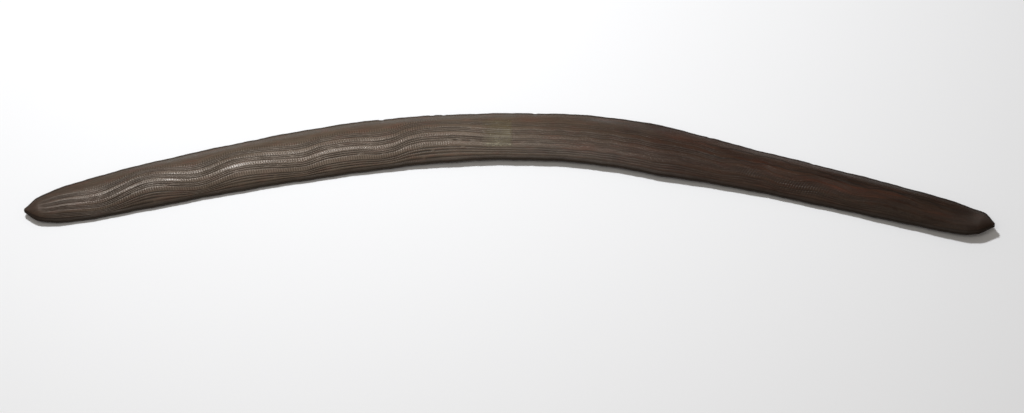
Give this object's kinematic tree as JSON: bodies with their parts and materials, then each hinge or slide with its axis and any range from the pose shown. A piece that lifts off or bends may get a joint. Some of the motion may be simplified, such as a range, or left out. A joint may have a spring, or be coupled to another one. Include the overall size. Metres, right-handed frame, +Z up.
{
  "type": "boomerang",
  "caption": "Shallow-bent carved hardwood throwing blade, flat underneath and crowned on top, with a blunt point at each end.",
  "frame": {"origin": "middle of the blade's bounding box in X and Y, on the surface that it lies on", "axes": "+X from the left tip to the right tip, +Y from the hollow of the bend to its outer side, +Z up through the carved face"},
  "size_m": [0.8456, 0.1278, 0.0127],
  "materials": {
    "dark_hardwood": "carved and rubbed, dark brown, low sheen from handling",
    "old_varnish": "thin yellowed varnish, half gloss",
    "pale_paint": "old cream paint, matt and worn"
  },
  "bodies": {
    "root": {"blade": "dark_hardwood", "varnish_patch": "old_varnish", "paint_streak": "pale_paint", "paint_dab_1": "pale_paint", "paint_dab_2": "pale_paint", "paint_dab_3": "pale_paint"}
  },
  "joints": []
}
